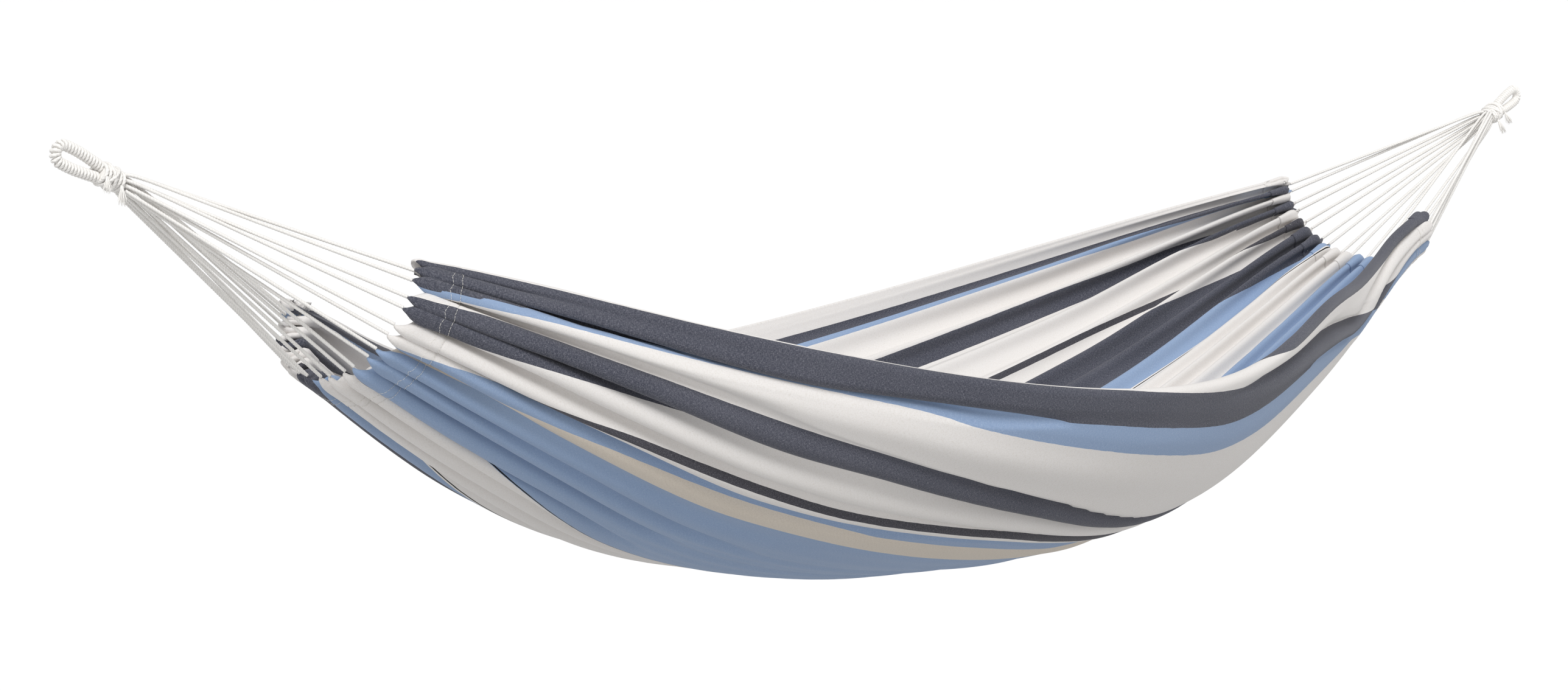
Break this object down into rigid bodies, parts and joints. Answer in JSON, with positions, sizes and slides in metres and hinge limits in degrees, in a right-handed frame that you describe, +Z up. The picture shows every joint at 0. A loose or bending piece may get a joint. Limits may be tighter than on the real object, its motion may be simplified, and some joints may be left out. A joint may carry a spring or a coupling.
{
  "type": "hammock",
  "caption": "Striped cotton cloth hammock, gathered onto a fan of cords, a whipped neck and a served eye loop at each end.",
  "frame": {"origin": "hook seat inside the left eye loop, on the middle plane of the eye", "axes": "+X to the hook seat of the right eye, -Y to the front rim, +Z up as the hammock hangs"},
  "size_m": [2.965, 1.1649, 0.6513],
  "materials": {
    "striped_cloth": "plain-woven cotton in white, cream, light blue and navy stripes, matte",
    "cotton_cord": "twisted white cotton cord, matte",
    "stitch_thread": "white sewing thread, slight sheen"
  },
  "bodies": {
    "left_eye": {"left_eye_core": "cotton_cord", "left_eye_serving": "cotton_cord", "left_neck_whipping": "cotton_cord", "left_tassel_upper": "cotton_cord", "left_tassel_lower": "cotton_cord"},
    "bed": {"bed_cloth": "striped_cloth", "left_hem_cord": "cotton_cord", "right_hem_cord": "cotton_cord", "left_hem_stitching": "stitch_thread", "right_hem_stitching": "stitch_thread", "left_cord_01": "cotton_cord", "left_cord_02": "cotton_cord", "left_cord_03": "cotton_cord", "left_cord_04": "cotton_cord", "left_cord_05": "cotton_cord", "left_cord_06": "cotton_cord", "left_cord_07": "cotton_cord", "left_cord_08": "cotton_cord", "left_cord_09": "cotton_cord", "left_cord_10": "cotton_cord", "left_cord_11": "cotton_cord", "left_cord_12": "cotton_cord", "left_cord_13": "cotton_cord", "left_cord_14": "cotton_cord", "left_cord_15": "cotton_cord", "left_cord_16": "cotton_cord", "left_cord_17": "cotton_cord", "left_cord_18": "cotton_cord", "left_cord_19": "cotton_cord", "left_cord_20": "cotton_cord", "right_cord_01": "cotton_cord", "right_cord_02": "cotton_cord", "right_cord_03": "cotton_cord", "right_cord_04": "cotton_cord", "right_cord_05": "cotton_cord", "right_cord_06": "cotton_cord", "right_cord_07": "cotton_cord", "right_cord_08": "cotton_cord", "right_cord_09": "cotton_cord", "right_cord_10": "cotton_cord", "right_cord_11": "cotton_cord", "right_cord_12": "cotton_cord", "right_cord_13": "cotton_cord", "right_cord_14": "cotton_cord", "right_cord_15": "cotton_cord", "right_cord_16": "cotton_cord", "right_cord_17": "cotton_cord", "right_cord_18": "cotton_cord", "right_cord_19": "cotton_cord", "right_cord_20": "cotton_cord"},
    "right_eye": {"right_eye_core": "cotton_cord", "right_eye_serving": "cotton_cord", "right_neck_whipping": "cotton_cord", "right_tassel_upper": "cotton_cord", "right_tassel_lower": "cotton_cord"}
  },
  "joints": [
    {"name": "swing", "type": "hinge", "parent": "left_eye", "child": "bed", "pos_m": [0.08, 0, -0.0369], "axis": [1, 0, 0], "range_deg": [-30, 30]},
    {"name": "right_eye_turn", "type": "hinge", "parent": "bed", "child": "right_eye", "pos_m": [2.856, 0, -0.0369], "axis": [1, 0, 0], "range_deg": [-30, 30]}
  ],
  "couplings": [
    {"joint": "right_eye_turn", "follows": "swing", "ratio": -1}
  ]
}
